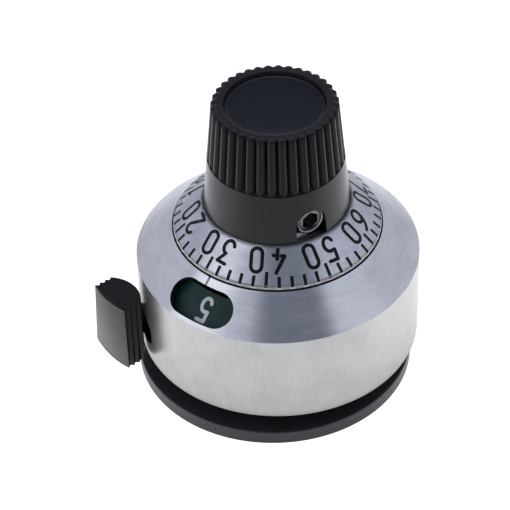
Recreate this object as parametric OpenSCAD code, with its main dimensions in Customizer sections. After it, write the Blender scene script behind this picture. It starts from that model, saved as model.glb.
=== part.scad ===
// Turns-counting control dial for a multi-turn potentiometer with a 6.35 mm shaft.
// The base rests on the panel and the housing stays still. The knob turns the shaft, the
// graduated dial and a pinion, and the pinion carries a count ring on by one number a turn.
// Origin: centre of the base's underside. +Z runs along the shaft, towards the knob.

/* [Housing] */
// Outside diameter of the turned housing
housing_d = 22.2; // [21.9:0.1:22.5]
// Height of the housing's lower edge above the panel
housing_bottom_z = 2.9; // [2.85:0.05:2.95]
// Height of the edge between the cylinder and the cone
shoulder_z = 10.65; // [10.6:0.05:10.7]
// Diameter of the round opening that the dial turns in
opening_d = 16.4; // [16.3:0.02:16.4]
// Height of that opening's edge
opening_z = 13.2; // [13.18:0.01:13.22]
// Wall thickness of the housing
wall = 0.6; // [0.5:0.05:0.6]

/* [Count window] */
// Direction of the window's middle, in degrees about Z
window_az = -128.5; // [-135:0.5:-120]
// Angle that the whole window spans
window_span = 33.4; // [30:0.2:36]
// Width of the window along the cone's slope
window_w = 2.87; // [2.6:0.01:2.9]
// Direction of the reading line, in degrees about Z
index_az = -130; // [-135:0.5:-120]

/* [Base] */
// Diameter of the base flange
flange_d = 22.0; // [21.6:0.1:22.2]
// Thickness of the base flange
flange_t = 1.2; // [1.0:0.05:1.3]
// Distance that the flange stands off centre, towards the brake lever
flange_shift = 0.45; // [0:0.05:0.5]
// Direction of that shift, in degrees about Z
flange_shift_az = -158; // [-170:2:-140]
// Diameter of the recessed neck between flange and housing
neck_d = 18.8; // [18.6:0.1:19.2]
// Diameter of the hollow that clears the potentiometer's nut
nut_clear_d = 15.2; // [14.8:0.1:15.3]

/* [Knob] */
// Height of the knob's top above the panel
knob_top_z = 24.8; // [24.4:0.1:25.2]
// Diameter of the knob where it meets the dial
knob_foot_d = 11.3; // [11.2:0.05:11.4]
// Diameter of the knob at its top edge
knob_top_d = 9.58; // [9.5:0.02:9.8]
// Height where the flutes start
flute_start_z = 19.95; // [19.6:0.05:20.4]
// Number of flutes round the grip
flute_count = 36; // [30:2:40]
// Diameter of the inlaid cap
cap_d = 7.7; // [7.5:0.05:7.8]

/* [Shaft clamp] */
// Bore for the potentiometer shaft
shaft_bore_d = 6.4; // [6.38:0.01:6.45]
// Direction of the set screw, in degrees about Z
set_screw_az = -61.0; // [-70:0.2:-55]
// Angle from the set screw to the middle of the knob's arch over it
arch_offset = -1.8; // [-2:0.1:2]
// Height of the set screw
set_screw_z = 16.85; // [16.8:0.05:16.95]
// Thread diameter of the set screw
set_screw_d = 2.2; // [2:0.1:2.4]
// Hexagon socket of the set screw, across flats
set_screw_hex = 1.27; // [1.2:0.01:1.3]

/* [Count gears] */
// Distance from the shaft axis to the pinion axis
gear_centre = 6.6; // [6.6]
// Teeth of the fixed ring gear
fixed_teeth = 28; // [28]
// Teeth of the count ring's gear
count_teeth = 30; // [30]
// Leaves on each step of the pinion
pinion_teeth = 6; // [6]
// Pressure angle of all teeth
pressure_angle = 28; // [26:1:29]
// Direction of the pinion at rest, in degrees about Z
pinion_az = 45; // [20:5:70]

/* [Brake lever] */
// Distance of the lever's pivot pin from the shaft axis
pivot_r = 8.0; // [8.0]
// Direction of the pivot pin, in degrees about Z
pivot_az = 178.57; // [178:0.01:179]
// Direction of the released lever, in degrees about Z
lever_az = -143.2; // [-143.5:0.1:-143]
// Angle from released to locked
lever_travel = 70; // [70]
// Distance from the pivot to the pad's outer corners
pad_reach = 6.55; // [6.5:0.01:6.65]
// Width of the pad across its ribbed sides
pad_w = 4.0; // [3.8:0.05:4.0]
// Height of the pad's top
pad_top_z = 9.0; // [8.6:0.1:9.4]

/* [Hidden] */
$fn = 96;

eps = 0.01;
housing_r = housing_d / 2;
opening_r = opening_d / 2;
inner_r = housing_r - wall;

// The housing's cone: fall per unit of radius, slope angle and upright wall thickness
cone_fall = (opening_z - shoulder_z) / (housing_r - opening_r);
cone_slope = atan(cone_fall);
cone_wall = wall / cos(cone_slope);
function cone_z(r) = shoulder_z + (housing_r - r) * cone_fall;

// Heights of the layers inside the housing
floor_top_z = 4.2;
bush_seat_z = 3.5;
hub_bottom_z = housing_bottom_z + 0.05;
drum_z = [4.4, 6.6];
lever_z = [4.6, 6.1];
fixed_gear_z = [7.0, 8.1];
count_gear_z = [8.15, 9.25];
carrier_z = [9.4, 10.2];
hub_flange_z = [12.0, 12.7];
dial_web_top_z = 13.3;
dial_rim_z = [13.32, 13.6];
dial_top_z = 15.7;
hub_top_z = 22.0;

// Radii of the hub's steps, from the bearing up
journal_r = 4.05;
hub_body_r = 4.4;
hub_flange_r = 7.0;
hub_neck_r = 3.7;
hub_neck_z = 19.0;
drum_r = 5.0;
bush_r = 5.0;
fit_gap = 0.02;
running_gap = 0.04;

dial_r = opening_r - 0.11;
dial_rim_r = dial_r - 0.08;
dial_top_r = knob_foot_d / 2 + 0.05;

// Brake: an eccentric disc on the lever, faced with a lining
cam_r = 1.9;
lining_t = 0.35;
cam_throw = pivot_r - drum_r - cam_r - lining_t - 0.03;
cam_az = pivot_az + 180 + lever_travel;
slot_z = 5.4;
slot_h = 2.7;
slot_half_span = 25.7;

post_az = [0, 120, 240];
post_circle_r = 9.65;
dial_screw_circle_r = 5.9;
dial_screw_az = [30, 150, 270];

// ---- involute teeth -------------------------------------------------------------------
function involute(a) = tan(a) * 180 / PI - a;

// Half of a tooth's angle at radius r, for a tooth that spans half_at_pitch at radius rp
function tooth_half(r, rp, half_at_pitch) =
    half_at_pitch + involute(pressure_angle)
    - involute(acos(min(1, rp * cos(pressure_angle) / r)));

// Outline of one tooth from its root at one side, over the tip, to its root at the other
function tooth_points(rp, root_r, tip_r, half_at_pitch, mid_az) =
    let (base_r = max(root_r, rp * cos(pressure_angle)), steps = 4)
    let (radii = concat([root_r], [for (i = [0:steps]) base_r + (tip_r - base_r) * i / steps]))
    let (n = len(radii))
    concat(
        [for (i = [0:n - 1]) let (r = radii[i], a = mid_az - tooth_half(r, rp, half_at_pitch))
            [r * cos(a), r * sin(a)]],
        [for (i = [n - 1:-1:0]) let (r = radii[i], a = mid_az + tooth_half(r, rp, half_at_pitch))
            [r * cos(a), r * sin(a)]]);

// A toothed disc; `thicker` widens each flank in millimetres at the pitch circle
module toothed_disc(teeth, rp, inward, outward, thicker) {
    half = 90 / teeth + thicker / rp * 180 / PI;
    polygon([for (k = [0:teeth - 1])
        each tooth_points(rp, rp - inward, rp + outward, half, k * 360 / teeth)]);
}

addendum = 0.6;
dedendum = 0.8;
flank_gap = 0.025;
function pitch_r(teeth) = gear_centre * teeth / (teeth - pinion_teeth);
function pinion_pitch_r(ring_teeth) = gear_centre * pinion_teeth / (ring_teeth - pinion_teeth);
function gear_module(ring_teeth) = 2 * gear_centre / (ring_teeth - pinion_teeth);

// Opening of an internal ring gear: a disc with the shape of the tooth spaces
module ring_gear_opening(teeth) {
    m = gear_module(teeth);
    rotate(pinion_az)
        toothed_disc(teeth, pitch_r(teeth), addendum * m, dedendum * m, flank_gap);
}

module pinion_step(ring_teeth) {
    m = gear_module(ring_teeth);
    toothed_disc(pinion_teeth, pinion_pitch_r(ring_teeth), dedendum * m, addendum * m, -flank_gap);
}

// ---- shapes used more than once -------------------------------------------------------
module ring(z, r_out, r_in) {
    translate([0, 0, z[0]])
        difference() {
            cylinder(r = r_out, h = z[1] - z[0]);
            translate([0, 0, -eps])
                cylinder(r = r_in, h = z[1] - z[0] + 2 * eps);
        }
}

// An open retaining ring with a gap of `gap_angle`
module snap_ring(z, r_out, r_in, gap_angle) {
    rotate(gap_angle / 2)
        rotate_extrude(angle = 360 - gap_angle)
            translate([r_in, z[0]])
                square([r_out - r_in, z[1] - z[0]]);
}

module at_polar(az, r) {
    rotate(az)
        translate([r, 0, 0])
            children();
}

module at_pivot() {
    at_polar(pivot_az, pivot_r)
        children();
}

// Turns a part so that its +X runs along the released lever, from the pivot outwards
module along_lever() {
    at_pivot()
        rotate(lever_az - pivot_az)
            children();
}

// ---- base and housing -----------------------------------------------------------------
module base_plate() {
    post_r = 0.8;
    screw_hole_r = 0.42;
    screw_depth = 2.2;
    locating_hole_r = 0.65;
    locating_hole_depth = 1.9;
    locating_circle_r = 8.5;
    clip_recess_r = 5.7;
    pin_seat_z = housing_bottom_z + 0.2;
    edge = 0.06;
    color("#232426")
        difference() {
            union() {
                at_polar(flange_shift_az, flange_shift)
                    rotate_extrude()
                        polygon([
                            [0, 0], [flange_d / 2 - edge, 0], [flange_d / 2, edge],
                            [flange_d / 2, flange_t - edge], [flange_d / 2 - edge, flange_t],
                            [0, flange_t]
                        ]);
                rotate_extrude()
                    polygon([
                        [0, flange_t - eps], [neck_d / 2, flange_t - eps],
                        [neck_d / 2, housing_bottom_z], [inner_r - fit_gap, housing_bottom_z],
                        [inner_r - fit_gap, floor_top_z], [0, floor_top_z]
                    ]);
                for (az = post_az)
                    at_polar(az, post_circle_r)
                        translate([0, 0, floor_top_z - eps])
                            cylinder(r = post_r, h = fixed_gear_z[0] - floor_top_z + eps);
            }
            translate([0, 0, -eps])
                cylinder(d = nut_clear_d, h = housing_bottom_z + eps);
            translate([0, 0, housing_bottom_z - eps])
                cylinder(r = clip_recess_r, h = bush_seat_z - housing_bottom_z + eps);
            cylinder(r = bush_r + fit_gap / 2, h = floor_top_z + eps);
            for (az = post_az)
                at_polar(az, post_circle_r)
                    translate([0, 0, fixed_gear_z[0] - screw_depth])
                        cylinder(r = screw_hole_r, h = screw_depth + eps);
            at_pivot()
                translate([0, 0, pin_seat_z])
                    cylinder(r = pivot_pin_r + fit_gap / 2, h = floor_top_z);
            at_polar(90, locating_circle_r)
                translate([0, 0, -eps])
                    cylinder(r = locating_hole_r, h = locating_hole_depth + eps);
        }
}

// The window's outline swept round the axis, square to the cone, with round ends
module window_cut() {
    mid_r = 9.785;
    half_w = window_w / 2;
    depth = 3;
    end_inset = 0.004;
    end_az = window_span / 2 - half_w / mid_r * 180 / PI;
    rotate(window_az) {
        rotate(-end_az)
            rotate_extrude(angle = 2 * end_az)
                translate([mid_r, cone_z(mid_r)])
                    rotate(-cone_slope)
                        square([window_w, depth], center = true);
        for (side = [-1, 1])
            rotate(side * end_az)
                translate([mid_r, 0, cone_z(mid_r)])
                    rotate([0, cone_slope, 0])
                        cylinder(r = half_w - end_inset, h = depth, center = true);
    }
}

// The lever's slot: an arc-shaped cut through the cylinder wall, with round ends
module lever_slot_cut() {
    end_az = slot_half_span - slot_h / 2 / housing_r * 180 / PI;
    cut_from_r = inner_r - 1;
    rotate(pivot_az) {
        rotate(-end_az)
            rotate_extrude(angle = 2 * end_az)
                translate([cut_from_r, slot_z - slot_h / 2])
                    square([3, slot_h]);
        for (side = [-1, 1])
            rotate(side * end_az)
                translate([cut_from_r, 0, slot_z])
                    rotate([0, 90, 0])
                        cylinder(r = slot_h / 2, h = 3);
    }
}

module housing_shell() {
    line_w = 0.18;
    line_depth = 0.05;
    line_length = 0.95;
    edge = 0.06;
    color("#c4c6ca")
        difference() {
            rotate_extrude()
                polygon([
                    [inner_r, housing_bottom_z], [housing_r - edge, housing_bottom_z],
                    [housing_r, housing_bottom_z + edge], [housing_r, shoulder_z],
                    [opening_r, opening_z], [opening_r, opening_z - cone_wall],
                    [inner_r, cone_z(inner_r) - cone_wall]
                ]);
            window_cut();
            lever_slot_cut();
            rotate(index_az)
                translate([opening_r, 0, opening_z])
                    rotate([0, cone_slope, 0])
                        translate([-eps, -line_w / 2, -line_depth])
                            cube([line_length, line_w, 1]);
        }
}

module hub_bush() {
    collar_r = 5.5;
    collar_top_z = floor_top_z + 0.15;
    bore_r = journal_r + running_gap;
    color("#b89b57")
        rotate_extrude()
            polygon([
                [bore_r, bush_seat_z], [bush_r, bush_seat_z], [bush_r, floor_top_z],
                [collar_r, floor_top_z], [collar_r, collar_top_z], [bore_r, collar_top_z]
            ]);
}

module thrust_washer() {
    washer_t = 0.2;
    washer_r = 5.4;
    color("#d8d2bf")
        ring([bush_seat_z - fit_gap - washer_t, bush_seat_z - fit_gap], washer_r,
            journal_r + 2 * running_gap);
}

// Screws that hold the fixed ring gear on the base's posts
ring_screw_r = 0.4;
ring_screw_head_r = 0.65;
ring_screw_sink = 0.5;

module fixed_ring_gear() {
    rim_r = inner_r - 0.05;
    hole_gap = 0.03;
    color("#b9a05c")
        difference() {
            translate([0, 0, fixed_gear_z[0]])
                linear_extrude(height = fixed_gear_z[1] - fixed_gear_z[0])
                    difference() {
                        circle(r = rim_r);
                        ring_gear_opening(fixed_teeth);
                    }
            for (az = post_az)
                at_polar(az, post_circle_r) {
                    translate([0, 0, fixed_gear_z[0] - eps])
                        cylinder(r = ring_screw_r + hole_gap, h = 2);
                    translate([0, 0, fixed_gear_z[1] - ring_screw_sink])
                        cylinder(r = ring_screw_head_r + hole_gap, h = 1);
                }
        }
}

module ring_gear_screws() {
    head_h = 0.4;
    shank_l = 2.4;
    slot_w = 0.2;
    slot_depth = 0.15;
    color("#a9abad")
        for (az = post_az)
            at_polar(az, post_circle_r)
                translate([0, 0, fixed_gear_z[1] - ring_screw_sink])
                    difference() {
                        union() {
                            cylinder(r = ring_screw_head_r, h = head_h);
                            translate([0, 0, -shank_l])
                                cylinder(r = ring_screw_r, h = shank_l + eps);
                        }
                        translate([-1, -slot_w / 2, head_h - slot_depth])
                            cube([2, slot_w, 1]);
                    }
}

// ---- brake lever's fixed parts --------------------------------------------------------
pivot_pin_r = 0.8;
pivot_pin_z = [housing_bottom_z + 0.22, 6.5];
pivot_groove_r = 0.6;
pivot_clip_z = [6.15, 6.29];

module lever_pivot_pin() {
    color("#9fa2a6")
        at_pivot()
            difference() {
                translate([0, 0, pivot_pin_z[0]])
                    cylinder(r = pivot_pin_r, h = pivot_pin_z[1] - pivot_pin_z[0]);
                ring([pivot_clip_z[0] - eps, pivot_clip_z[1] + eps], 2, pivot_groove_r);
            }
}

// A shallow cone of spring steel that keeps the lever where it is left
module lever_spring_washer() {
    r_in = 0.86;
    r_out = 1.45;
    sheet = 0.12;
    rise = 0.2;
    foot_z = floor_top_z + 0.03;
    color("#8f9296")
        at_pivot()
            rotate_extrude()
                polygon([
                    [r_in, foot_z + rise], [r_out, foot_z],
                    [r_out, foot_z + sheet], [r_in, foot_z + rise + sheet]
                ]);
}

module lever_clip() {
    clip_r = 1.3;
    gap_angle = 70;
    color("#8f9296")
        at_pivot()
            rotate(-90)
                snap_ring(pivot_clip_z, clip_r, pivot_groove_r + fit_gap, gap_angle);
}

// ---- parts that turn with the shaft ---------------------------------------------------
clip_groove_z = [3.06, 3.24];
clip_groove_r = 3.75;

module hub() {
    screw_hole_r = 0.47;
    bore_r = shaft_bore_d / 2;
    color("#c9b277")
        difference() {
            rotate_extrude()
                polygon([
                    [bore_r, hub_bottom_z], [journal_r, hub_bottom_z],
                    [journal_r, clip_groove_z[0]], [clip_groove_r, clip_groove_z[0]],
                    [clip_groove_r, clip_groove_z[1]], [journal_r, clip_groove_z[1]],
                    [journal_r, carrier_z[1]], [hub_body_r, carrier_z[1]],
                    [hub_body_r, hub_flange_z[0]], [hub_flange_r, hub_flange_z[0]],
                    [hub_flange_r, hub_flange_z[1]], [hub_body_r, hub_flange_z[1]],
                    [hub_body_r, hub_neck_z], [hub_neck_r, hub_neck_z],
                    [hub_neck_r, hub_top_z], [bore_r, hub_top_z]
                ]);
            rotate(set_screw_az)
                translate([0, 0, set_screw_z])
                    rotate([0, 90, 0])
                        cylinder(d = set_screw_d, h = hub_body_r + 1);
            for (az = dial_screw_az)
                at_polar(az, dial_screw_circle_r)
                    translate([0, 0, hub_flange_z[0] - eps])
                        cylinder(r = screw_hole_r, h = 1);
        }
}

module hub_clip() {
    clip_r = 5.2;
    gap_az = 200;
    gap_angle = 50;
    color("#8f9296")
        rotate(gap_az)
            snap_ring([clip_groove_z[0] + eps, clip_groove_z[1] - eps], clip_r,
                clip_groove_r + eps, gap_angle);
}

module brake_drum() {
    color("#a7aaae")
        ring(drum_z, drum_r, journal_r);
}

module pinion_carrier() {
    carrier_r = 7.7;
    lightening_r = 1.3;
    lightening_circle_r = 5.9;
    color("#b9a05c")
        difference() {
            ring(carrier_z, carrier_r, journal_r);
            at_polar(pinion_az, gear_centre)
                translate([0, 0, carrier_z[0] - eps])
                    cylinder(r = pinion_pin_r, h = 1);
            for (k = [1:5])
                at_polar(pinion_az + 60 * k, lightening_circle_r)
                    translate([0, 0, carrier_z[0] - eps])
                        cylinder(r = lightening_r, h = 1);
        }
}

pinion_pin_r = 0.6;
pinion_pin_foot_z = 6.7;
pinion_clip_z = [6.84, 6.98];
pinion_groove_r = 0.42;

module pinion_pin() {
    color("#9fa2a6")
        at_polar(pinion_az, gear_centre)
            difference() {
                translate([0, 0, pinion_pin_foot_z])
                    cylinder(r = pinion_pin_r, h = carrier_z[1] - pinion_pin_foot_z);
                ring([pinion_clip_z[0] - eps, pinion_clip_z[1] + eps], 1, pinion_groove_r);
            }
}

module pinion_clip() {
    clip_r = 1.05;
    gap_angle = 70;
    color("#8f9296")
        at_polar(pinion_az, gear_centre)
            snap_ring(pinion_clip_z, clip_r, pinion_groove_r + eps, gap_angle);
}

module graduated_dial() {
    lip_r = hub_body_r + fit_gap;
    throat_r = 5.1;
    slope_run = (dial_rim_r - dial_top_r) / (dial_top_z - dial_rim_z[1]);
    inner_top_z = dial_top_z - 0.6;
    screw_hole_r = 0.41;
    edge = 0.04;
    color("#bfc4ce")
        difference() {
            rotate_extrude()
                polygon([
                    [lip_r, hub_flange_z[1]], [dial_r - edge, hub_flange_z[1]],
                    [dial_r, hub_flange_z[1] + edge], [dial_r, dial_rim_z[0]],
                    [dial_rim_r, dial_rim_z[1]], [dial_top_r, dial_top_z],
                    [throat_r, dial_top_z],
                    [throat_r, inner_top_z],
                    [throat_r + (inner_top_z - dial_web_top_z) * slope_run, dial_web_top_z],
                    [lip_r, dial_web_top_z]
                ]);
            for (az = dial_screw_az)
                at_polar(az, dial_screw_circle_r)
                    translate([0, 0, hub_flange_z[1] - eps])
                        cylinder(r = screw_hole_r, h = 0.5);
        }
}

module dial_screws() {
    head_h = 0.45;
    head_r = 0.85;
    shank_r = 0.4;
    shank_l = 1.1;
    slot_w = 0.2;
    slot_depth = 0.15;
    color("#a9abad")
        for (az = dial_screw_az)
            at_polar(az, dial_screw_circle_r)
                translate([0, 0, hub_flange_z[0] - head_h])
                    difference() {
                        union() {
                            cylinder(r = head_r, h = head_h);
                            cylinder(r = shank_r, h = head_h + shank_l);
                        }
                        translate([-1, -slot_w / 2, -eps])
                            cube([2, slot_w, slot_depth]);
                    }
}

// Knob radius at height z, along its drafted side
knob_draft = (knob_foot_d - knob_top_d) / 2 / (knob_top_z - dial_top_z);
function knob_r(z) = knob_foot_d / 2 - (z - dial_top_z) * knob_draft;

module knob_flutes() {
    cutter_r = 0.26;
    cutter_out = 0.1;
    lean = atan(knob_draft);
    for (k = [0:flute_count - 1])
        rotate(90 + k * 360 / flute_count)
            translate([knob_r(flute_start_z + cutter_r) + cutter_out, 0, flute_start_z + cutter_r]) {
                sphere(r = cutter_r, $fn = 24);
                rotate([0, -lean, 0])
                    cylinder(r = cutter_r, h = knob_top_z - flute_start_z + 1, $fn = 24);
            }
}

// The skirt's opening over the set screw: a round arch that runs down to the dial
module screw_arch_cut() {
    arch_r = set_screw_d / 2 + 0.17;
    rotate(set_screw_az + arch_offset)
        translate([0, 0, set_screw_z]) {
            rotate([0, 90, 0])
                cylinder(r = arch_r, h = 8);
            translate([0, -arch_r, dial_top_z - set_screw_z - 1])
                cube([8, 2 * arch_r, set_screw_z - dial_top_z + 1]);
        }
}

module knob_grip() {
    spigot_r = 5.08;
    bore_r = hub_body_r + fit_gap;
    neck_bore_r = hub_neck_r + fit_gap;
    cap_floor_z = 22.3;
    top_round = 0.22;
    color("#1f2023")
        difference() {
            rotate_extrude()
                polygon([
                    [bore_r, dial_web_top_z], [spigot_r, dial_web_top_z],
                    [spigot_r, dial_top_z], [knob_r(dial_top_z), dial_top_z],
                    [knob_r(knob_top_z - top_round), knob_top_z - top_round],
                    [knob_r(knob_top_z) - top_round, knob_top_z],
                    [cap_d / 2, knob_top_z], [cap_d / 2, cap_floor_z],
                    [neck_bore_r, cap_floor_z], [neck_bore_r, hub_neck_z + fit_gap],
                    [bore_r, hub_neck_z + fit_gap]
                ]);
            knob_flutes();
            screw_arch_cut();
        }
}

module knob_cap() {
    sink = 0.35;
    edge = 0.1;
    cap_r = cap_d / 2 - fit_gap;
    cap_bottom_z = 22.32;
    color("#1b1d25")
        rotate_extrude()
            polygon([
                [0, cap_bottom_z], [cap_r, cap_bottom_z], [cap_r, knob_top_z - sink - edge],
                [cap_r - edge, knob_top_z - sink], [0, knob_top_z - sink]
            ]);
}

module set_screw() {
    inner_end_r = shaft_bore_d / 2 + 0.05;
    outer_end_r = 4.95;
    length = outer_end_r - inner_end_r;
    socket_depth = 1.0;
    edge = 0.2;
    screw_r = set_screw_d / 2 - fit_gap;
    hex_r = set_screw_hex / 2 / cos(30);
    color("#b4b6b9")
        rotate(set_screw_az)
            translate([inner_end_r, 0, set_screw_z])
                rotate([0, 90, 0])
                    difference() {
                        rotate_extrude()
                            polygon([
                                [0, 0], [screw_r - edge, 0], [screw_r, edge],
                                [screw_r, length - edge], [screw_r - edge, length], [0, length]
                            ]);
                        translate([0, 0, length - socket_depth])
                            cylinder(r = hex_r, h = 2, $fn = 6);
                    }
}

// ---- count train ----------------------------------------------------------------------
module pinion() {
    lower_z = [7.05, 8.05];
    upper_z = [8.2, 9.2];
    collar_r = 1.15;
    color("#e3e1d8")
        at_polar(pinion_az, gear_centre)
            difference() {
                union() {
                    translate([0, 0, lower_z[0]])
                        linear_extrude(height = lower_z[1] - lower_z[0])
                            pinion_step(fixed_teeth);
                    translate([0, 0, upper_z[0]])
                        linear_extrude(height = upper_z[1] - upper_z[0])
                            pinion_step(count_teeth);
                    translate([0, 0, lower_z[1] - eps])
                        cylinder(r = collar_r, h = upper_z[0] - lower_z[1] + 2 * eps);
                }
                translate([0, 0, lower_z[0] - 1])
                    cylinder(r = pinion_pin_r + 0.03, h = 4);
            }
}

count_ring_r = inner_r - 0.09;
number_ring_seat_r = 9.55;
number_ring_bottom_z = count_gear_z[1] - 0.25;

module count_ring_gear() {
    color("#2c2d30")
        difference() {
            translate([0, 0, count_gear_z[0]])
                linear_extrude(height = count_gear_z[1] - count_gear_z[0])
                    difference() {
                        circle(r = count_ring_r);
                        ring_gear_opening(count_teeth);
                    }
            ring([number_ring_bottom_z, count_gear_z[1] + 1], count_ring_r + 1,
                number_ring_seat_r);
        }
}

// The cone that carries the numbers, parallel to the housing's cone and below it
module number_ring() {
    face_drop = 1.15;
    cone_sheet = 0.6;
    top_r = 8.35;
    seat_r = number_ring_seat_r + fit_gap;
    outer_r = count_ring_r - 0.1;
    color("#17302e")
        rotate_extrude()
            polygon([
                [seat_r, number_ring_bottom_z], [outer_r, number_ring_bottom_z],
                [outer_r, cone_z(outer_r) - face_drop], [top_r, cone_z(top_r) - face_drop],
                [top_r, cone_z(top_r) - face_drop - cone_sheet],
                [seat_r, cone_z(seat_r) - face_drop - cone_sheet]
            ]);
}

// ---- brake lever ----------------------------------------------------------------------
arm_w = 1.8;
arm_tip = 5.9;
pin_hole_r = pivot_pin_r + 0.03;

// Direction from the pivot to the middle of the eccentric disc, measured from the lever's arm
cam_turn = cam_az - lever_az;

module brake_lever() {
    boss_r = 1.5;
    color("#2a2b2d")
        along_lever()
            difference() {
                translate([0, 0, lever_z[0]])
                    linear_extrude(height = lever_z[1] - lever_z[0])
                        union() {
                            circle(r = boss_r);
                            rotate(cam_turn)
                                translate([cam_throw, 0])
                                    circle(r = cam_r);
                            translate([0, -arm_w / 2])
                                square([arm_tip, arm_w]);
                        }
                translate([0, 0, lever_z[0] - eps])
                    cylinder(r = pin_hole_r, h = 3);
            }
}

// A strip of friction material on the eccentric's nose
module brake_lining() {
    half_angle = 45;
    margin = 0.05;
    color("#6b4a33")
        along_lever()
            rotate(cam_turn)
                translate([cam_throw, 0, 0])
                    rotate(-half_angle)
                        rotate_extrude(angle = 2 * half_angle)
                            translate([cam_r, lever_z[0] + margin])
                                square([lining_t, lever_z[1] - lever_z[0] - 2 * margin]);
}

// Outline of the pad: a bulged outer face, straight ribbed sides and a round back
module pad_outline() {
    face_bulge = 0.27;
    face_half_w = 1.83;
    face_r = (face_half_w * face_half_w + face_bulge * face_bulge) / (2 * face_bulge);
    back_r = 2.73;
    back_centre = 6.86;
    rib_pitch = 0.5;
    rib_groove_r = 0.2;
    rib_groove_out = 0.04;
    first_groove = pad_reach - 0.33;
    difference() {
        intersection() {
            translate([back_centre, 0])
                circle(r = back_r);
            translate([pad_reach + face_bulge - face_r, 0])
                circle(r = face_r);
            translate([0, -pad_w / 2])
                square([pad_reach + face_bulge, pad_w]);
        }
        for (side = [-1, 1], k = [0:2])
            translate([first_groove - k * rib_pitch, side * (pad_w / 2 + rib_groove_out)])
                circle(r = rib_groove_r, $fn = 24);
    }
}

module lever_pad() {
    bottom_z = housing_bottom_z + 0.05;
    socket_gap = fit_gap / 2;
    color("#2b2b2a")
        along_lever()
            difference() {
                translate([0, 0, bottom_z])
                    linear_extrude(height = pad_top_z - bottom_z)
                        pad_outline();
                translate([0, -arm_w / 2 - socket_gap, lever_z[0] - socket_gap])
                    cube([arm_tip + fit_gap, arm_w + fit_gap,
                        lever_z[1] - lever_z[0] + 2 * socket_gap]);
            }
}

base_plate();
housing_shell();
hub_bush();
thrust_washer();
fixed_ring_gear();
ring_gear_screws();
lever_pivot_pin();
lever_spring_washer();
lever_clip();
hub();
hub_clip();
brake_drum();
pinion_carrier();
pinion_pin();
pinion_clip();
graduated_dial();
dial_screws();
knob_grip();
knob_cap();
set_screw();
pinion();
count_ring_gear();
number_ring();
brake_lever();
lever_pad();
brake_lining();
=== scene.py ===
import math

import bpy
from mathutils import Matrix, Vector


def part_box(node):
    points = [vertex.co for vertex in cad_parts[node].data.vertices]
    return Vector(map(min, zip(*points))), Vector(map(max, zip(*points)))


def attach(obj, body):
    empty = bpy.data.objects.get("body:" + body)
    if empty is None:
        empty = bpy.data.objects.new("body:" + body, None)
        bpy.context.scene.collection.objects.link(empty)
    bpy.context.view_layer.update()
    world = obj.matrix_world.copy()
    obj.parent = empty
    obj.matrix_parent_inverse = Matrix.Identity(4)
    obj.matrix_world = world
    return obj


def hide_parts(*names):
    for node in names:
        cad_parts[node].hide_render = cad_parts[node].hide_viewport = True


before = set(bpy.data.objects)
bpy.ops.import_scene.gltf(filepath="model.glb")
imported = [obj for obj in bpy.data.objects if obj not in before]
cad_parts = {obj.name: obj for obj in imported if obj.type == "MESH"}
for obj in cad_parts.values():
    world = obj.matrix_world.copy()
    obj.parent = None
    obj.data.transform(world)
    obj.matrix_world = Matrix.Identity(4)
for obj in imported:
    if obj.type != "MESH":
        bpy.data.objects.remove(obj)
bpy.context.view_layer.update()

# Looks of a turns-counting dial: a turned aluminium housing with a count window, an engraved
# dial, a fluted knob and a brake lever. Sizes are in millimetres and angles in degrees,
# in the frame of the CAD model: +Z towards the knob, the reader at -Y.
MM = 0.001


# ---- sizes taken from the frame ---------------------------------------------------------------
def box_side(node, end, axis):
    """Where a node's box starts (LOW) or stops (HIGH) along an axis."""
    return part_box(node)[end][axis] / MM


LOW, HIGH = 0, 1
X, Z = 0, 2
FLOOR_Z = box_side("base_plate", LOW, Z)
WALL_FOOT_Z = box_side("housing_shell", LOW, Z)
HOUSING_R = box_side("housing_shell", HIGH, X)
DIAL_R = box_side("graduated_dial", HIGH, X)
DIAL_TOP_Z = box_side("graduated_dial", HIGH, Z)
KNOB_FOOT_R = box_side("knob_grip", HIGH, X)
KNOB_TOP_Z = box_side("knob_grip", HIGH, Z)
CAP_R = box_side("knob_cap", HIGH, X)
CAP_FOOT_Z = box_side("knob_cap", LOW, Z)
CAP_TOP_Z = box_side("knob_cap", HIGH, Z)
RING_TOP_Z = box_side("number_ring", HIGH, Z)
PAD_FOOT_Z = box_side("lever_pad", LOW, Z)
PAD_TOP_Z = box_side("lever_pad", HIGH, Z)

# ---- sizes that the frame's boxes don't give --------------------------------------------------
# Base and housing
FLANGE_TOP_Z = 1.2
SHOULDER_Z = 10.65
CONE_TAN = 0.8793
# Dial: its band of marks, and the narrow rim that drops away outside it
DIAL_TOP_R = 5.70
DIAL_RIM_R = 8.01
DIAL_RIM_TOP_Z = 13.6
DIAL_RIM_FOOT_Z = 13.32
DIAL_WEB_Z = 13.3
# Count ring
RING_TOP_R = 8.35
# Knob: its drafted side, flutes, recess for the cap and bore
KNOB_TOP_R = 4.79
KNOB_DRAFT = (KNOB_FOOT_R - KNOB_TOP_R) / (KNOB_TOP_Z - DIAL_TOP_Z)
FLUTE_COUNT = 36
FLUTE_START_Z = 19.95
CAP_RECESS_R = 3.85
CAP_FLOOR_Z = 22.3
KNOB_NECK_R = 3.72
KNOB_NECK_Z = 19.02
KNOB_BORE_R = 4.42
KNOB_SPIGOT_R = 5.08
# Set screw, and the arch over it
SCREW_AZ = -61.0
SCREW_Z = 16.85
ARCH_AZ = -62.8
ARCH_R = 1.27
# Brake lever
PIVOT_R = 8.0
PIVOT_AZ = 178.57
LEVER_AZ = -143.2
PAD_REACH = 6.55


# ---- points and meshes ------------------------------------------------------------------------
def polar(radius, azimuth, z):
    angle = math.radians(azimuth)
    return (radius * math.cos(angle), radius * math.sin(angle), z)


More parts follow.
